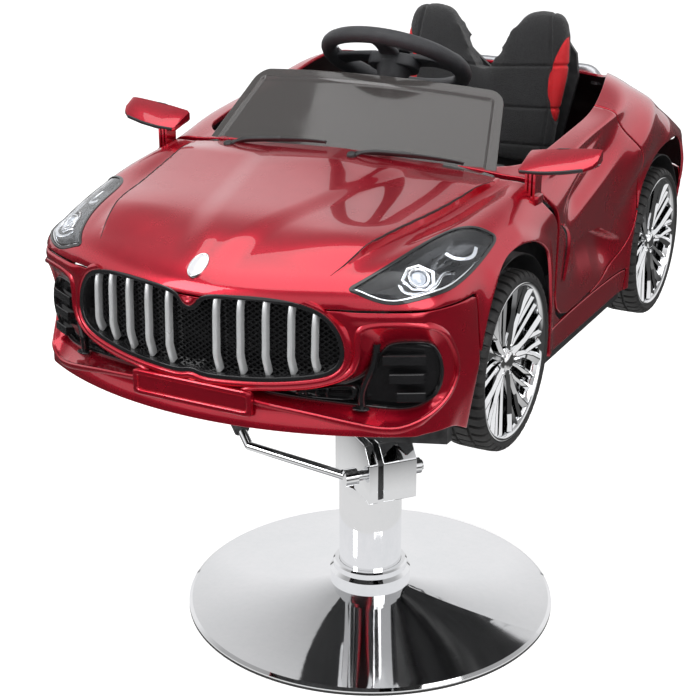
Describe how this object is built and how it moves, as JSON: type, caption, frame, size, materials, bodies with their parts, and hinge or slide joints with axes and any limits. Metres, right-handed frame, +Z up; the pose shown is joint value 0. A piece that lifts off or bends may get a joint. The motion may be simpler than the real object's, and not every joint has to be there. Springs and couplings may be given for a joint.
{
  "type": "kids car barber chair",
  "caption": "Child's salon chair: a small open sports car body with seat, steering wheel and opening doors, on a foot-pumped hydraulic column that swivels on a round chrome base",
  "frame": {"origin": "centre of the underside of the column base, on the floor", "axes": "+Z up, the car's nose points to -Y, the driver's left is +X"},
  "size_m": [0.714, 1.099, 0.882],
  "materials": {
    "chrome": "polished chrome plating",
    "plated_plastic": "bright plated plastic",
    "floor_rubber": "plain black rubber",
    "iron": "painted cast iron",
    "steel": "turned and welded steel",
    "bronze": "turned bushing metal",
    "red_body": "metallic crimson with a clear coat",
    "black_plastic": "fine grained black plastic",
    "horn_plastic": "satin dark grey plastic",
    "clear_lens": "clear moulded lens",
    "red_lens": "red moulded lens",
    "smoked": "smoked brown screen",
    "seat_leather": "black grained cover with sewn seams",
    "silver_plastic": "silver painted plastic",
    "tyre": "moulded black tyre"
  },
  "bodies": {
    "base": {"base_disc": "chrome", "floor_ring": "floor_rubber", "base_weight": "iron", "pump_cylinder": "steel", "base_bolts": "steel", "column_collar": "chrome"},
    "swivel": {"guide_bush": "bronze"},
    "carriage": {"column_sleeve": "chrome", "ram": "steel", "neck_nut": "chrome", "lever_housing": "chrome", "mounting_plate": "steel", "mounting_bolts": "steel", "chassis_frame": "steel", "chassis_pan": "black_plastic", "front_body": "red_body", "front_bumper": "red_body", "rear_body": "red_body", "rear_bumper": "red_body", "tail_lamps": "red_lens", "sill_panels": "red_body", "headlamp_lenses": "clear_lens", "headlamp_housings": "black_plastic", "grille_mesh": "black_plastic", "grille_bars": "plated_plastic", "blank_plate": "red_body", "hood_badge": "plated_plastic", "intake_louvres": "black_plastic", "windshield": "smoked", "wipers": "black_plastic", "dashboard": "black_plastic", "steering_bracket": "black_plastic", "seat_shell": "black_plastic", "seat_cushion": "seat_leather", "seat_back": "seat_leather", "rear_hoop": "silver_plastic", "front_axle_beam": "steel", "rear_axle": "steel", "mirror_stalks": "black_plastic"},
    "lever": {"pump_lever": "chrome", "lever_pedal": "floor_rubber"},
    "plunger": {"pump_plunger": "steel"},
    "steering": {"steering_wheel": "black_plastic", "steering_shaft": "steel"},
    "horn": {"horn_pad": "horn_plastic"},
    "knuckle_left": {"knuckle_left": "steel"},
    "knuckle_right": {"knuckle_right": "steel"},
    "tie": {"tie_rod": "steel"},
    "door_left": {"door_left": "red_body"},
    "door_right": {"door_right": "red_body"},
    "mirror_left": {"mirror_left": "red_body"},
    "mirror_right": {"mirror_right": "red_body"},
    "wheel_front_left": {"tyre_front_left": "tyre", "rim_front_left": "plated_plastic"},
    "wheel_front_right": {"tyre_front_right": "tyre", "rim_front_right": "plated_plastic"},
    "wheel_rear_left": {"tyre_rear_left": "tyre", "rim_rear_left": "plated_plastic"},
    "wheel_rear_right": {"tyre_rear_right": "tyre", "rim_rear_right": "plated_plastic"}
  },
  "joints": [
    {"name": "column_swivel", "type": "hinge", "parent": "base", "child": "swivel", "pos_m": [0, 0, 0.1], "axis": [0, 0, 1], "continuous": true},
    {"name": "column_lift", "type": "slide", "parent": "swivel", "child": "carriage", "axis": [0, 0, 1], "range_m": [0, 0.12]},
    {"name": "lever_rock", "type": "hinge", "parent": "carriage", "child": "lever", "pos_m": [0.04443, -0.03728, 0.238], "axis": [-0.6428, -0.766, 0], "range_deg": [0, 22], "stiffness_Nm_per_rad": 6, "springref_deg": -20.05},
    {"name": "plunger_stroke", "type": "slide", "parent": "carriage", "child": "plunger", "axis": [0, 0, -1], "range_m": [0, 0.0058]},
    {"name": "steering_turn", "type": "hinge", "parent": "carriage", "child": "steering", "pos_m": [0, 0.072, 0.822], "axis": [0, 0.5, 0.866], "range_deg": [-30, 30]},
    {"name": "horn_press", "type": "slide", "parent": "steering", "child": "horn", "axis": [0, -0.5, -0.866], "range_m": [0, 0.003], "stiffness_N_per_m": 800, "springref_m": -0.001},
    {"name": "kingpin_left", "type": "hinge", "parent": "carriage", "child": "knuckle_left", "pos_m": [0.203, -0.168, 0.501], "axis": [0, 0, 1], "range_deg": [-12, 12]},
    {"name": "kingpin_right", "type": "hinge", "parent": "carriage", "child": "knuckle_right", "pos_m": [-0.203, -0.168, 0.501], "axis": [0, 0, 1], "range_deg": [-12, 12]},
    {"name": "tie_slide", "type": "slide", "parent": "carriage", "child": "tie", "axis": [1, 0, 0], "range_m": [-0.0084, 0.0084]},
    {"name": "spin_front_left", "type": "hinge", "parent": "knuckle_left", "child": "wheel_front_left", "pos_m": [0.261, -0.168, 0.501], "axis": [1, 0, 0], "continuous": true},
    {"name": "spin_front_right", "type": "hinge", "parent": "knuckle_right", "child": "wheel_front_right", "pos_m": [-0.261, -0.168, 0.501], "axis": [1, 0, 0], "continuous": true},
    {"name": "spin_rear_left", "type": "hinge", "parent": "carriage", "child": "wheel_rear_left", "pos_m": [0.261, 0.432, 0.501], "axis": [1, 0, 0], "continuous": true},
    {"name": "spin_rear_right", "type": "hinge", "parent": "carriage", "child": "wheel_rear_right", "pos_m": [-0.261, 0.432, 0.501], "axis": [1, 0, 0], "continuous": true},
    {"name": "door_left_swing", "type": "hinge", "parent": "carriage", "child": "door_left", "pos_m": [0.288, -0.00893, 0.49894], "axis": [0.0529, 0.3365, -0.9402], "range_deg": [0, 55]},
    {"name": "door_right_swing", "type": "hinge", "parent": "carriage", "child": "door_right", "pos_m": [-0.288, -0.00893, 0.49894], "axis": [0.0529, -0.3365, 0.9402], "range_deg": [0, 55]},
    {"name": "mirror_left_fold", "type": "hinge", "parent": "carriage", "child": "mirror_left", "pos_m": [0.277, -0.098, 0.727], "axis": [0, 0, 1], "range_deg": [0, 60]},
    {"name": "mirror_right_fold", "type": "hinge", "parent": "carriage", "child": "mirror_right", "pos_m": [-0.277, -0.098, 0.727], "axis": [0, 0, -1], "range_deg": [0, 60]}
  ],
  "couplings": [
    {"joint": "plunger_stroke", "follows": "lever_rock", "m_per_rad": 0.0146},
    {"joint": "kingpin_left", "follows": "steering_turn", "ratio": 0.4},
    {"joint": "kingpin_right", "follows": "steering_turn", "ratio": 0.4},
    {"joint": "tie_slide", "follows": "steering_turn", "m_per_rad": -0.016}
  ]
}
